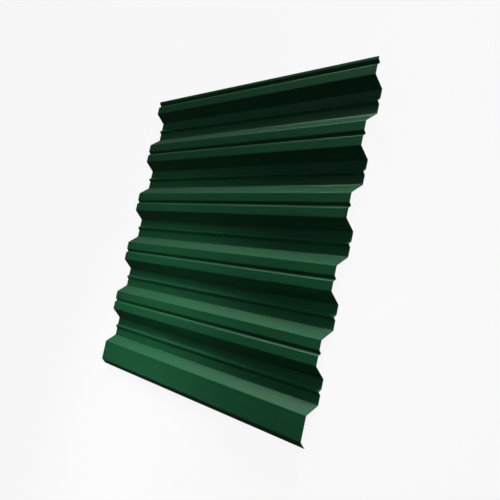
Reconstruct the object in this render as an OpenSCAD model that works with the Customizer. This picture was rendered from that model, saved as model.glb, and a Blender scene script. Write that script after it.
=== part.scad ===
// Trapezoidal corrugated steel sheet for roofs, walls and fences.
// One strip of coated steel is cold-rolled into ribs, and every flat but the
// last carries a stiffening groove. The sheet lies on its valleys, coated face up.
// X runs along the ribs, Y across them and Z up. The origin is under the middle
// of the sheet, at the level on which the valleys rest. Sizes are in millimetres.

/* [Sheet] */
// Length along the ribs
sheet_length = 1200; // [500:10:6000]
// Thickness of the coated strip
sheet_gauge = 0.7; // [0.4:0.05:1.2]
// Number of valleys from one edge to the other
valley_count = 5; // [1:1:8]

/* [Ribs] */
// Width of the flat on top of a rib
crest_flat = 70; // [50:1:120]
// Width of the flat in a valley
valley_flat = 70; // [50:1:120]
// Height of a crest above a valley
rib_depth = 35; // [20:1:60]
// Distance across the sheet that one sloping web takes up
web_run = 30; // [15:1:45]
// Inside radius of the bends between flats and webs
bend_radius = 3; // [1:0.5:5]

/* [Stiffening grooves] */
// Width of a groove at its mouth, level with the flat
groove_mouth = 16; // [14:0.5:24]
// Width of the floor of a groove
groove_floor = 2; // [2:0.5:6]
// Depth of a groove below its flat
groove_depth = 7; // [4:0.5:8]
// Inside radius of the bends in a groove
groove_radius = 1.5; // [0.5:0.25:1.5]

/* [Lap edges] */
// Width of the strip outside the groove on the first crest, which goes under the next sheet
underlap_strip = 8; // [4:0.5:15]
// Width of the plain flat on the last crest, which goes over the next sheet
overlap_flat = 70; // [40:1:120]
// Height of the lip that turns down from the last crest
lip_drop = 17.5; // [6:0.5:25]

/* [Hidden] */

// Flat steps that stand for the curve of one bend
bend_steps = 4;

web_slope = rib_depth / web_run;
web_angle = atan(web_slope);
pitch = crest_flat + valley_flat + 2 * web_run;
lip_run = lip_drop / web_slope;

// Across the sheet, 0 is the free edge of the first crest. That crest is a whole
// one trimmed outside its groove, so a whole one would start before the edge.
first_crest = underlap_strip + groove_mouth / 2 - crest_flat / 2;
last_crest = first_crest + valley_count * pitch;
lip_edge = last_crest + overlap_flat + lip_run;
overall_width = lip_edge + sin(web_angle) * sheet_gauge / 2;

// The middle of the strip's thickness is a chain of corners: [across, height, inside radius].

// Four corners of a groove that sinks (way = -1) or rises (way = 1) from its flat
function groove(middle, level, way) = [
    for (corner = [
        [-groove_mouth / 2, 0],
        [-groove_floor / 2, groove_depth],
        [groove_floor / 2, groove_depth],
        [groove_mouth / 2, 0]
    ])
    [middle + corner[0], level + way * corner[1], groove_radius]
];

function valley(start) = concat(
    [[start, 0, bend_radius]],
    groove(start + valley_flat / 2, 0, 1),
    [[start + valley_flat, 0, bend_radius]]
);

function crest(start) = concat(
    [[start, rib_depth, bend_radius]],
    groove(start + crest_flat / 2, rib_depth, -1),
    [[start + crest_flat, rib_depth, bend_radius]]
);

function underlap_edge() = concat(
    [[0, rib_depth, 0]],
    groove(first_crest + crest_flat / 2, rib_depth, -1),
    [[first_crest + crest_flat, rib_depth, bend_radius]]
);

function overlap_edge() = [
    [last_crest, rib_depth, bend_radius],
    [last_crest + overlap_flat, rib_depth, bend_radius],
    [lip_edge, rib_depth - lip_drop, 0]
];

function valley_start(k) = first_crest + crest_flat + web_run + k * pitch;

function strip_corners() = concat(
    underlap_edge(),
    [
        for (k = [0 : valley_count - 1])
        each concat(
            valley(valley_start(k)),
            k < valley_count - 1 ? crest(first_crest + (k + 1) * pitch) : []
        )
    ],
    overlap_edge()
);

function point(corner) = [corner[0], corner[1]];
function heading(from, to) = atan2(to[1] - from[1], to[0] - from[0]);
// Unit vector to the left of a heading
function leftward(angle) = [-sin(angle), cos(angle)];

// Points along one face of a bend, side * sheet_gauge / 2 to the left of the middle
function bend(before, corner, after, side) =
    let (
        way_in = heading(before, corner),
        turn = heading(corner, after) - way_in,
        hand = sign(turn),
        radius = corner[2] + sheet_gauge / 2,
        tangent = radius * tan(abs(turn) / 2),
        start = point(corner) - tangent * [cos(way_in), sin(way_in)],
        centre = start + hand * radius * leftward(way_in)
    )
    [
        for (step = [0 : bend_steps])
        centre + (side * sheet_gauge / 2 - hand * radius)
            * leftward(way_in + turn * step / bend_steps)
    ];

// One face of the strip, from free edge to free edge
function strip_face(corners, side) =
    let (
        last = len(corners) - 1,
        offset = side * sheet_gauge / 2
    )
    concat(
        [point(corners[0]) + offset * leftward(heading(corners[0], corners[1]))],
        [
            for (i = [1 : last - 1])
            each bend(corners[i - 1], corners[i], corners[i + 1], side)
        ],
        [point(corners[last]) + offset * leftward(heading(corners[last - 1], corners[last]))]
    );

function reversed(list) = [for (i = [len(list) - 1 : -1 : 0]) list[i]];

// Closed outline of the strip's section, with the first crest towards +Y
function section() =
    let (corners = strip_corners())
    [
        for (p = concat(strip_face(corners, 1), reversed(strip_face(corners, -1))))
        [overall_width / 2 - p[0], p[1] + sheet_gauge / 2]
    ];

module corrugated_sheet() {
    color([0.10, 0.30, 0.19])
        rotate([90, 0, 90])
            linear_extrude(height = sheet_length, center = true)
                polygon(section());
}

corrugated_sheet();
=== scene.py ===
import bpy
import math
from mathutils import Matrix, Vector


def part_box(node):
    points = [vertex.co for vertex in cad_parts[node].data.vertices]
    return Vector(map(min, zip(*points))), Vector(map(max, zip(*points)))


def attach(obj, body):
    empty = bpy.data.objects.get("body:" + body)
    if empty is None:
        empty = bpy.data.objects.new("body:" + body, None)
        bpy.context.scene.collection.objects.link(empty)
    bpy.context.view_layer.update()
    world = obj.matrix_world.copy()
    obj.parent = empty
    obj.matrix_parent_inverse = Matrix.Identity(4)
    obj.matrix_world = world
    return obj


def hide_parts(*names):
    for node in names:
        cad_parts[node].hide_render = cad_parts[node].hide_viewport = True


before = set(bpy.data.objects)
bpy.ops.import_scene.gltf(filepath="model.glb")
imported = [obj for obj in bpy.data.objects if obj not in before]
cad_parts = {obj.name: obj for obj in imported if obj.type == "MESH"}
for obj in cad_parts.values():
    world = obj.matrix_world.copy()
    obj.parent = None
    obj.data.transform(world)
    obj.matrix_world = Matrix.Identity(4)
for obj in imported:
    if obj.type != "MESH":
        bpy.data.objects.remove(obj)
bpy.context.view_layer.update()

scene = bpy.context.scene
scene.view_settings.view_transform = "Standard"


def linear(hexColour):  # sRGB hex to linear RGBA
    parts = [int(hexColour[i:i + 2], 16) / 255 for i in (1, 3, 5)]
    return [p / 12.92 if p <= 0.04045 else ((p + 0.055) / 1.055) ** 2.4 for p in parts] + [1.0]


# Adds one node with its settings; an input is a link where it is a socket, else a plain value
def addNode(tree, kind, settings=None, inputs=None):
    node = tree.nodes.new(kind)
    for key, value in (settings or {}).items():
        setattr(node, key, value)
    for key, value in (inputs or {}).items():
        if isinstance(value, bpy.types.NodeSocket):
            tree.links.new(value, node.inputs[key])
        else:
            node.inputs[key].default_value = value
    return node


def newMaterial(name):
    material = bpy.data.materials.new(name)
    material.use_nodes = True
    material.node_tree.nodes.clear()
    return material, material.node_tree


mixIn = (0, 6, 7)  # a Mix node's factor and two colours
mixOut = 2  # and its mixed colour
noiseSpan = (0.3, 0.7)  # most of a noise's values lie between these

# Polyester coil coat, rolled on before the sheet is formed: an even dark green with a soft
# sheen, faint streaks along the rolling direction and a very fine orange peel
coatLook = {
    "green": "#1d5737",
    "deepGreen": "#1b5234",
    "roughness": (0.34, 0.38),
    "ior": 1.5,
    "streakWidth": 0.012,
    "streakLength": 0.7,
    "streakDetail": 3.0,
    "streakRoughness": 0.55,
    "peelSize": 0.003,
    "peelHeight": 0.00002,
    "peelStrength": 0.6,
}


def polyesterCoat():
    material, tree = newMaterial("polyesterCoilCoat")
    place = addNode(tree, "ShaderNodeTexCoord").outputs["Object"]
    along = 1 / coatLook["streakLength"]
    across = 1 / coatLook["streakWidth"]
    drawn = addNode(tree, "ShaderNodeMapping", inputs={
        "Vector": place, "Scale": (along, across, across)})
    streaks = addNode(tree, "ShaderNodeTexNoise", inputs={
        "Vector": drawn.outputs["Vector"], "Scale": 1.0,
        "Detail": coatLook["streakDetail"], "Roughness": coatLook["streakRoughness"]})
    peel = addNode(tree, "ShaderNodeTexNoise", inputs={
        "Vector": place, "Scale": 1 / coatLook["peelSize"]})
    tone = addNode(tree, "ShaderNodeMix", {"data_type": "RGBA"}, dict(zip(mixIn, (
        streaks.outputs["Fac"], linear(coatLook["green"]), linear(coatLook["deepGreen"])))))
    sheen = addNode(tree, "ShaderNodeMapRange", inputs={
        "Value": streaks.outputs["Fac"], "From Min": noiseSpan[0], "From Max": noiseSpan[1],
        "To Min": coatLook["roughness"][0], "To Max": coatLook["roughness"][1]})
    skin = addNode(tree, "ShaderNodeBump", inputs={
        "Strength": coatLook["peelStrength"], "Distance": coatLook["peelHeight"],
        "Height": peel.outputs["Fac"]})
    surface = addNode(tree, "ShaderNodeBsdfPrincipled", inputs={
        "Base Color": tone.outputs[mixOut], "Roughness": sheen.outputs["Result"],
        "IOR": coatLook["ior"], "Normal": skin.outputs["Normal"]})
    addNode(tree, "ShaderNodeOutputMaterial", inputs={"Surface": surface.outputs["BSDF"]})
    return material


# Epoxy backing coat on the hidden face: thin, matt light grey, a little cloudy
backLook = {
    "grey": "#a3a8a5",
    "cloudGrey": "#969c99",
    "roughness": 0.55,
    "ior": 1.5,
    "cloudSize": 0.05,
    "cloudDetail": 4.0,
    "grainSize": 0.002,
    "grainHeight": 0.00002,
    "grainStrength": 0.5,
}


def epoxyBack():
    material, tree = newMaterial("epoxyBackingCoat")
    place = addNode(tree, "ShaderNodeTexCoord").outputs["Object"]
    cloud = addNode(tree, "ShaderNodeTexNoise", inputs={
        "Vector": place, "Scale": 1 / backLook["cloudSize"], "Detail": backLook["cloudDetail"]})
    grain = addNode(tree, "ShaderNodeTexNoise", inputs={
        "Vector": place, "Scale": 1 / backLook["grainSize"]})
    tone = addNode(tree, "ShaderNodeMix", {"data_type": "RGBA"}, dict(zip(mixIn, (
        cloud.outputs["Fac"], linear(backLook["grey"]), linear(backLook["cloudGrey"])))))
    skin = addNode(tree, "ShaderNodeBump", inputs={
        "Strength": backLook["grainStrength"], "Distance": backLook["grainHeight"],
        "Height": grain.outputs["Fac"]})
    surface = addNode(tree, "ShaderNodeBsdfPrincipled", inputs={
        "Base Color": tone.outputs[mixOut], "Roughness": backLook["roughness"],
        "IOR": backLook["ior"], "Normal": skin.outputs["Normal"]})
    addNode(tree, "ShaderNodeOutputMaterial", inputs={"Surface": surface.outputs["BSDF"]})
    return material


# Sheared edge of galvanised steel: bare metal between the coats, dull and unevenly torn
edgeLook = {
    "zinc": "#8d9290",
    "steel": "#6f7473",
    "roughness": (0.4, 0.6),
    "tearSize": 0.0015,
    "tearDetail": 3.0,
}


def shearedEdge():
    material, tree = newMaterial("shearedGalvanisedSteel")
    place = addNode(tree, "ShaderNodeTexCoord").outputs["Object"]
    tear = addNode(tree, "ShaderNodeTexNoise", inputs={
        "Vector": place, "Scale": 1 / edgeLook["tearSize"], "Detail": edgeLook["tearDetail"]})
    tone = addNode(tree, "ShaderNodeMix", {"data_type": "RGBA"}, dict(zip(mixIn, (
        tear.outputs["Fac"], linear(edgeLook["zinc"]), linear(edgeLook["steel"])))))
    dull = addNode(tree, "ShaderNodeMapRange", inputs={
        "Value": tear.outputs["Fac"],
        "To Min": edgeLook["roughness"][0], "To Max": edgeLook["roughness"][1]})
    surface = addNode(tree, "ShaderNodeBsdfPrincipled", inputs={
        "Base Color": tone.outputs[mixOut], "Metallic": 1.0,
        "Roughness": dull.outputs["Result"]})
    addNode(tree, "ShaderNodeOutputMaterial", inputs={"Surface": surface.outputs["BSDF"]})
    return material


coat = polyesterCoat()
back = epoxyBack()
cutEdge = shearedEdge()
print("materials made:", coat.name, back.name, cutEdge.name)

# The sheet: a chain of corners across the ribs, rounded, drawn out along the ribs and thickened.
# Lengths are in metres and follow the solid.
sheetSizes = {
    "Length": 1.2,
    "Gauge": 0.0007,
    "Valleys": 5,
    "Crest flat": 0.07,
    "Valley flat": 0.07,
    "Rib depth": 0.035,
    "Web run": 0.03,
    "Bend radius": 0.003,
    "Groove mouth": 0.016,
    "Groove floor": 0.002,
    "Groove depth": 0.007,
    "Groove radius": 0.0015,
    "Underlap strip": 0.008,
    "Overlap flat": 0.07,
    "Lip drop": 0.0175,
    "Bend steps": 8,
    "Underlap edge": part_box("corrugated_sheet")[1][1],
}
cornersPerFlat = 6  # end of the flat, mouth and floor of its groove, and back again
lastCorners = 3  # both ends of the plain crest and the edge of its lip
coatedFace, backFace, edgeFace = 0, 1, 2  # marks that choose the material
mergeWithin = 0.00001  # metres
crispAngle = 40  # degrees, past which an edge stays sharp
flatWeight = 100  # how far the flats lead the shading of their bends


def rolledSheetTree():
    tree = bpy.data.node_groups.new("rolledSheet", "GeometryNodeTree")
    tree.interface.new_socket("Geometry", in_out="OUTPUT", socket_type="NodeSocketGeometry")
    for name, value in sheetSizes.items():
        kind = "NodeSocketInt" if isinstance(value, int) else "NodeSocketFloat"
        tree.interface.new_socket(name, in_out="INPUT", socket_type=kind)
    size = addNode(tree, "NodeGroupInput").outputs

    # Crests and valleys take turns, with the same corners up to the last crest
    index = addNode(tree, "GeometryNodeInputIndex").outputs[0]
    flatNumber = addNode(tree, "FunctionNodeIntegerMath", {"operation": "DIVIDE_FLOOR"}, {
        0: index, 1: cornersPerFlat}).outputs[0]
    corner = addNode(tree, "FunctionNodeIntegerMath", {"operation": "MODULO"}, {
        0: index, 1: cornersPerFlat}).outputs[0]
    inValley = addNode(tree, "FunctionNodeIntegerMath", {"operation": "MODULO"}, {
        0: flatNumber, 1: 2}).outputs[0]
    flatsBefore = addNode(tree, "ShaderNodeMath", {"operation": "MULTIPLY"}, {
        0: size["Valleys"], 1: 2.0}).outputs[0]
    beforeLast = addNode(tree, "ShaderNodeMath", {"operation": "LESS_THAN"}, {
        0: flatNumber, 1: flatsBefore}).outputs[0]
    isFirst = addNode(tree, "ShaderNodeMath", {"operation": "LESS_THAN"}, {
        0: index, 1: 1.0}).outputs[0]

    # How far in a corner is: 0 at the ends of the flat, 1 at the mouth, 2 on the floor
    wayBack = addNode(tree, "ShaderNodeMath", {"operation": "SUBTRACT"}, {
        0: cornersPerFlat - 1, 1: corner}).outputs[0]
    fromEnd = addNode(tree, "ShaderNodeMath", {"operation": "MINIMUM"}, {
        0: corner, 1: wayBack}).outputs[0]
    inGroove = addNode(tree, "ShaderNodeMath", {"operation": "GREATER_THAN"}, {
        0: fromEnd, 1: 0.5}).outputs[0]
    onFloor = addNode(tree, "ShaderNodeMath", {"operation": "GREATER_THAN"}, {
        0: fromEnd, 1: 1.5}).outputs[0]

    # Distance across from the middle of the flat: half of the width at that corner, to one side
    flat = addNode(tree, "GeometryNodeSwitch", {"input_type": "FLOAT"}, {
        "Switch": inValley, "False": size["Crest flat"], "True": size["Valley flat"]}).outputs[0]
    widths = addNode(tree, "GeometryNodeIndexSwitch", {"data_type": "FLOAT"})
    widths.index_switch_items.new()
    widthLinks = (fromEnd, flat, size["Groove mouth"], size["Groove floor"])
    for key, value in enumerate(widthLinks):  # input 0 is the index
        tree.links.new(value, widths.inputs[key])
    side = addNode(tree, "ShaderNodeMath", {"operation": "GREATER_THAN"}, {
        0: corner, 1: (cornersPerFlat - 1) / 2}).outputs[0]
    side = addNode(tree, "ShaderNodeMath", {"operation": "SUBTRACT"}, {
        0: side, 1: 0.5}).outputs[0]
    reach = addNode(tree, "ShaderNodeMath", {"operation": "MULTIPLY"}, {
        0: widths.outputs[0], 1: side}).outputs[0]

    # The last crest is plain and ends in the lip, at the slope of the webs
    slope = addNode(tree, "ShaderNodeMath", {"operation": "DIVIDE"}, {
        0: size["Web run"], 1: size["Rib depth"]}).outputs[0]
    lipEnd = addNode(tree, "ShaderNodeMath", {"operation": "MULTIPLY_ADD"}, {
        0: size["Lip drop"], 1: slope, 2: size["Overlap flat"]}).outputs[0]
    ends = addNode(tree, "GeometryNodeIndexSwitch", {"data_type": "FLOAT"}, {1: 0.0})
    ends.index_switch_items.new()
    for key, value in ((0, corner), (2, size["Overlap flat"]), (3, lipEnd)):
        tree.links.new(value, ends.inputs[key])
    lastReach = addNode(tree, "ShaderNodeMath", {"operation": "MULTIPLY_ADD"}, {
        0: size["Crest flat"], 1: -0.5, 2: ends.outputs[0]}).outputs[0]
    reach = addNode(tree, "GeometryNodeSwitch", {"input_type": "FLOAT"}, {
        "Switch": beforeLast, "False": lastReach, "True": reach}).outputs[0]

    # The first crest is trimmed outside its groove
    halfMouth = addNode(tree, "ShaderNodeMath", {"operation": "MULTIPLY"}, {
        0: size["Groove mouth"], 1: -0.5}).outputs[0]
    freeEdge = addNode(tree, "ShaderNodeMath", {"operation": "SUBTRACT"}, {
        0: halfMouth, 1: size["Underlap strip"]}).outputs[0]
    reach = addNode(tree, "GeometryNodeSwitch", {"input_type": "FLOAT"}, {
        "Switch": isFirst, "False": reach, "True": freeEdge}).outputs[0]

    # Flats follow each other at half the pitch, from the underlap edge towards -Y
    flats = addNode(tree, "ShaderNodeMath", {"operation": "ADD"}, {
        0: size["Crest flat"], 1: size["Valley flat"]}).outputs[0]
    halfPitch = addNode(tree, "ShaderNodeMath", {"operation": "MULTIPLY_ADD"}, {
        0: flats, 1: 0.5, 2: size["Web run"]}).outputs[0]
    acrossSheet = addNode(tree, "ShaderNodeMath", {"operation": "MULTIPLY_ADD"}, {
        0: flatNumber, 1: halfPitch, 2: reach}).outputs[0]
    fromEdge = addNode(tree, "ShaderNodeMath", {"operation": "SUBTRACT"}, {
        0: acrossSheet, 1: freeEdge}).outputs[0]
    placeY = addNode(tree, "ShaderNodeMath", {"operation": "SUBTRACT"}, {
        0: size["Underlap edge"], 1: fromEdge}).outputs[0]

    # Grooves sink into crests and rise from valleys
    sink = addNode(tree, "GeometryNodeSwitch", {"input_type": "FLOAT"}, {
        "Switch": beforeLast, "False": size["Lip drop"], "True": size["Groove depth"]}).outputs[0]
    sink = addNode(tree, "ShaderNodeMath", {"operation": "MULTIPLY"}, {
        0: sink, 1: onFloor}).outputs[0]
    crestHeight = addNode(tree, "ShaderNodeMath", {"operation": "SUBTRACT"}, {
        0: size["Rib depth"], 1: sink}).outputs[0]
    height = addNode(tree, "GeometryNodeSwitch", {"input_type": "FLOAT"}, {
        "Switch": inValley, "False": crestHeight, "True": sink}).outputs[0]
    halfGauge = addNode(tree, "ShaderNodeMath", {"operation": "MULTIPLY"}, {
        0: size["Gauge"], 1: 0.5}).outputs[0]
    placeZ = addNode(tree, "ShaderNodeMath", {"operation": "ADD"}, {
        0: height, 1: halfGauge}).outputs[0]
    placeX = addNode(tree, "ShaderNodeMath", {"operation": "MULTIPLY"}, {
        0: size["Length"], 1: -0.5}).outputs[0]
    spot = addNode(tree, "ShaderNodeCombineXYZ", inputs={"X": placeX, "Y": placeY, "Z": placeZ})

    # Bends: one radius at the webs, a tighter one in the grooves
    smallBend = addNode(tree, "ShaderNodeMath", {"operation": "MULTIPLY"}, {
        0: inGroove, 1: beforeLast}).outputs[0]
    bend = addNode(tree, "GeometryNodeSwitch", {"input_type": "FLOAT"}, {
        "Switch": smallBend, "False": size["Bend radius"],
        "True": size["Groove radius"]}).outputs[0]
    bend = addNode(tree, "ShaderNodeMath", {"operation": "ADD"}, {
        0: bend, 1: halfGauge}).outputs[0]

    # The chain of corners, its bends, and the skin drawn out along the ribs
    count = addNode(tree, "ShaderNodeMath", {"operation": "MULTIPLY_ADD"}, {
        0: size["Valleys"], 1: 2 * cornersPerFlat, 2: lastCorners}).outputs[0]
    chain = addNode(tree, "GeometryNodeCurvePrimitiveLine")
    chain = addNode(tree, "GeometryNodeResampleCurve", inputs={
        "Curve": chain.outputs[0], "Count": count})
    chain = addNode(tree, "GeometryNodeSetPosition", inputs={
        "Geometry": chain.outputs[0], "Position": spot.outputs[0]})
    rounded = addNode(tree, "GeometryNodeFilletCurve", {"mode": "POLY"}, {
        "Curve": chain.outputs[0], "Count": size["Bend steps"], "Radius": bend})
    line = addNode(tree, "GeometryNodeCurveToMesh", inputs={"Curve": rounded.outputs[0]})
    alongRibs = addNode(tree, "FunctionNodeInputVector", {"vector": (1.0, 0.0, 0.0)})
    skin = addNode(tree, "GeometryNodeExtrudeMesh", {"mode": "EDGES"}, {
        "Mesh": line.outputs["Mesh"], "Offset": alongRibs.outputs[0],
        "Offset Scale": size["Length"]})

    # Half the gauge to each side, every face with its mark
    faces = []
    turned = addNode(tree, "GeometryNodeFlipFaces", inputs={"Mesh": skin.outputs["Mesh"]})
    for mark, layer in ((coatedFace, turned), (backFace, skin)):
        thick = addNode(tree, "GeometryNodeExtrudeMesh", {"mode": "FACES"}, {
            "Mesh": layer.outputs["Mesh"], "Offset Scale": halfGauge, "Individual": False})
        which = addNode(tree, "GeometryNodeSwitch", {"input_type": "INT"}, {
            "Switch": thick.outputs["Side"], "False": mark, "True": edgeFace})
        marked = addNode(
            tree, "GeometryNodeStoreNamedAttribute", {"data_type": "INT", "domain": "FACE"}, {
                "Geometry": thick.outputs["Mesh"], "Name": "face", "Value": which.outputs[0]})
        faces.append(marked.outputs[0])
    both = addNode(tree, "GeometryNodeJoinGeometry")
    for part in faces:
        tree.links.new(part, both.inputs[0])
    joined = addNode(tree, "GeometryNodeMergeByDistance", inputs={
        "Geometry": both.outputs[0], "Distance": mergeWithin})

    # Bends shade smoothly, cut edges stay crisp
    smooth = addNode(tree, "GeometryNodeSetShadeSmooth", inputs={"Geometry": joined.outputs[0]})
    angle = addNode(tree, "GeometryNodeInputMeshEdgeAngle")
    crisp = addNode(tree, "ShaderNodeMath", {"operation": "GREATER_THAN"}, {
        0: angle.outputs["Unsigned Angle"], 1: math.radians(crispAngle)})
    smooth = addNode(tree, "GeometryNodeSetShadeSmooth", {"domain": "EDGE"}, {
        "Geometry": smooth.outputs[0], "Selection": crisp.outputs[0], "Shade Smooth": False})

    # The coat goes on everything, then the back and the cut edge take their own material
    made = addNode(tree, "GeometryNodeRealizeInstances", inputs={
        "Geometry": smooth.outputs[0]}).outputs[0]
    made = addNode(tree, "GeometryNodeSetMaterial", inputs={
        "Geometry": made, "Material": coat}).outputs[0]
    mark = addNode(tree, "GeometryNodeInputNamedAttribute", {"data_type": "INT"}, {"Name": "face"})
    for number, material in ((backFace, back), (edgeFace, cutEdge)):
        chosen = addNode(tree, "ShaderNodeMath", {"operation": "COMPARE"}, {
            0: mark.outputs["Attribute"], 1: number, 2: 0.1})  # marks are whole numbers
        made = addNode(tree, "GeometryNodeSetMaterial", inputs={
            "Geometry": made, "Selection": chosen.outputs[0], "Material": material}).outputs[0]
    addNode(tree, "NodeGroupOutput", inputs={"Geometry": made})
    return tree


def rolledSheet():
    piece = bpy.data.objects.new("rolledSheet", bpy.data.meshes.new("rolledSheet"))
    scene.collection.objects.link(piece)
    tree = rolledSheetTree()
    section = piece.modifiers.new("section", "NODES")
    section.node_group = tree
    for socket in tree.interface.items_tree:
        if socket.in_out == "INPUT":
            section[socket.identifier] = sheetSizes[socket.name]
    evenShade = piece.modifiers.new("evenShade", "WEIGHTED_NORMAL")  # keeps the flats flat
    evenShade.weight = flatWeight
    evenShade.keep_sharp = True
    graph = bpy.context.evaluated_depsgraph_get()
    mesh = bpy.data.meshes.new_from_object(piece.evaluated_get(graph), depsgraph=graph)
    mesh.materials.pop(index=0)  # empty slot that the tree starts with
    piece.modifiers.clear()
    piece.data = mesh
    return piece


sheet = rolledSheet()
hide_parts("corrugated_sheet")
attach(sheet, "root")
print("sheet made:", len(sheet.data.polygons), "faces,", [m.name for m in sheet.data.materials])


# Backdrop: the camera sees white all round, reflections see it much dimmer
def shownLevel(tree, look):
    rays = addNode(tree, "ShaderNodeLightPath").outputs
    direct = addNode(tree, "ShaderNodeMath", {"operation": "MAXIMUM"}, {
        0: rays["Is Camera Ray"], 1: rays["Is Transmission Ray"]})
    glossy = addNode(tree, "ShaderNodeMath", {"operation": "MULTIPLY"}, {
        0: rays["Is Glossy Ray"], 1: look["mirrored"]})
    return addNode(tree, "ShaderNodeMath", {"operation": "MULTIPLY_ADD"}, {
        0: direct.outputs[0], 1: look["glow"], 2: glossy.outputs[0]}).outputs[0]


# Floor: matt grey paper under that white, so that the sheet's shadow stays
floorLook = {"paper": "#474746", "size": 16.0, "glow": 0.915, "mirrored": 0.03}


def studioFloor():
    half = floorLook["size"] / 2
    corners = [(-half, -half, 0), (half, -half, 0), (half, half, 0), (-half, half, 0)]
    mesh = bpy.data.meshes.new("studioFloor")
    mesh.from_pydata(corners, [], [(0, 1, 2, 3)])
    floor = bpy.data.objects.new("studioFloor", mesh)
    scene.collection.objects.link(floor)
    material, tree = newMaterial("mattWhiteFloor")
    rays = addNode(tree, "ShaderNodeLightPath").outputs
    paper = addNode(tree, "ShaderNodeBsdfDiffuse", inputs={"Color": linear(floorLook["paper"])})
    matt = addNode(tree, "ShaderNodeMixShader", inputs={  # reflections leave the lit paper out
        0: rays["Is Glossy Ray"], 1: paper.outputs[0]})
    glow = addNode(tree, "ShaderNodeEmission", inputs={"Strength": shownLevel(tree, floorLook)})
    both = addNode(tree, "ShaderNodeAddShader", inputs={0: matt.outputs[0], 1: glow.outputs[0]})
    addNode(tree, "ShaderNodeOutputMaterial", inputs={"Surface": both.outputs[0]})
    mesh.materials.append(material)
    return floor


studioFloor()
print("floor made")

# Soft lights, in metres, degrees and watts: the main one comes low over the underlap edge, a
# gridded box brightens the lipped edge at the far end, and fills open the valleys and shadows
lights = {
    "overRibs": {"place": (1.8, 4.9, 1.4), "aim": (0.7, -0.9, 0),
                 "size": 1.5, "spread": 27, "power": 11.8},
    "glance": {"place": (-4.9, 5.8, 2.15), "aim": (0, 0, 0),
               "size": 0.4, "spread": 180, "power": 85},
    "griddedBox": {"place": (0.2, 1.1, 1.3), "aim": (-0.47, -1.0, 0),
                   "size": 0.8, "spread": 28, "power": 2.8},
    "farFill": {"place": (-0.3, 0.3, 1.5), "aim": (-0.5, -0.6, 0),
                "size": 0.8, "spread": 50, "power": 0.95},
    "topFill": {"place": (-1.0, 1.35, 1.55), "aim": (0, 0, 0),
                "size": 0.9, "spread": 180, "power": 7.8},
    "endFill": {"place": (1.35, 0.5, 1.0), "aim": (0.68, -0.3, 0),
                "size": 0.4, "spread": 40, "power": 0.28},
    "sideFill": {"place": (0, -2.6, 1.4), "aim": (0, 0, 0),
                 "size": 1.2, "spread": 180, "power": 2.8},
}
sheenLight = "glance"  # the only one that shows in the coat, as sheen along the webs
for name, look in lights.items():
    lamp = bpy.data.lights.new(name, "AREA")
    lamp.shape = "SQUARE"
    lamp.size = look["size"]
    lamp.spread = math.radians(look["spread"])
    lamp.energy = look["power"]
    holder = bpy.data.objects.new(name, lamp)
    holder.location = look["place"]
    towards = Vector(look["aim"]) - Vector(look["place"])
    holder.rotation_euler = towards.to_track_quat("-Z", "Y").to_euler()
    holder.visible_camera = False
    holder.visible_glossy = name == sheenLight
    scene.collection.objects.link(holder)

# World: the same white behind the floor, and a trace of light from all round
worldLook = {"colour": "#ffffff", "ambient": 0.01, "glow": 0.92, "mirrored": 0.01}
world = bpy.data.worlds.new("studio")
scene.world = world
world.use_nodes = True
world.node_tree.nodes.clear()
level = addNode(world.node_tree, "ShaderNodeMath", {"operation": "ADD"}, {
    0: shownLevel(world.node_tree, worldLook), 1: worldLook["ambient"]})
sky = addNode(world.node_tree, "ShaderNodeBackground", inputs={
    "Color": linear(worldLook["colour"]), "Strength": level.outputs[0]})
addNode(world.node_tree, "ShaderNodeOutputWorld", inputs={"Surface": sky.outputs[0]})
print("lights set:", list(lights))

# Camera at the photograph's angle to the sheet, turned on its side: metres, degrees, millimetres
view = {"place": (1.9734, -0.2066, 1.338), "turn": (19.939, 50.972, 19.331), "lens": 51.415}
camera = bpy.data.objects.new("camera", bpy.data.cameras.new("camera"))
camera.location = view["place"]
camera.rotation_euler = [math.radians(a) for a in view["turn"]]
camera.data.lens = view["lens"]
scene.collection.objects.link(camera)
scene.camera = camera
print("camera set")
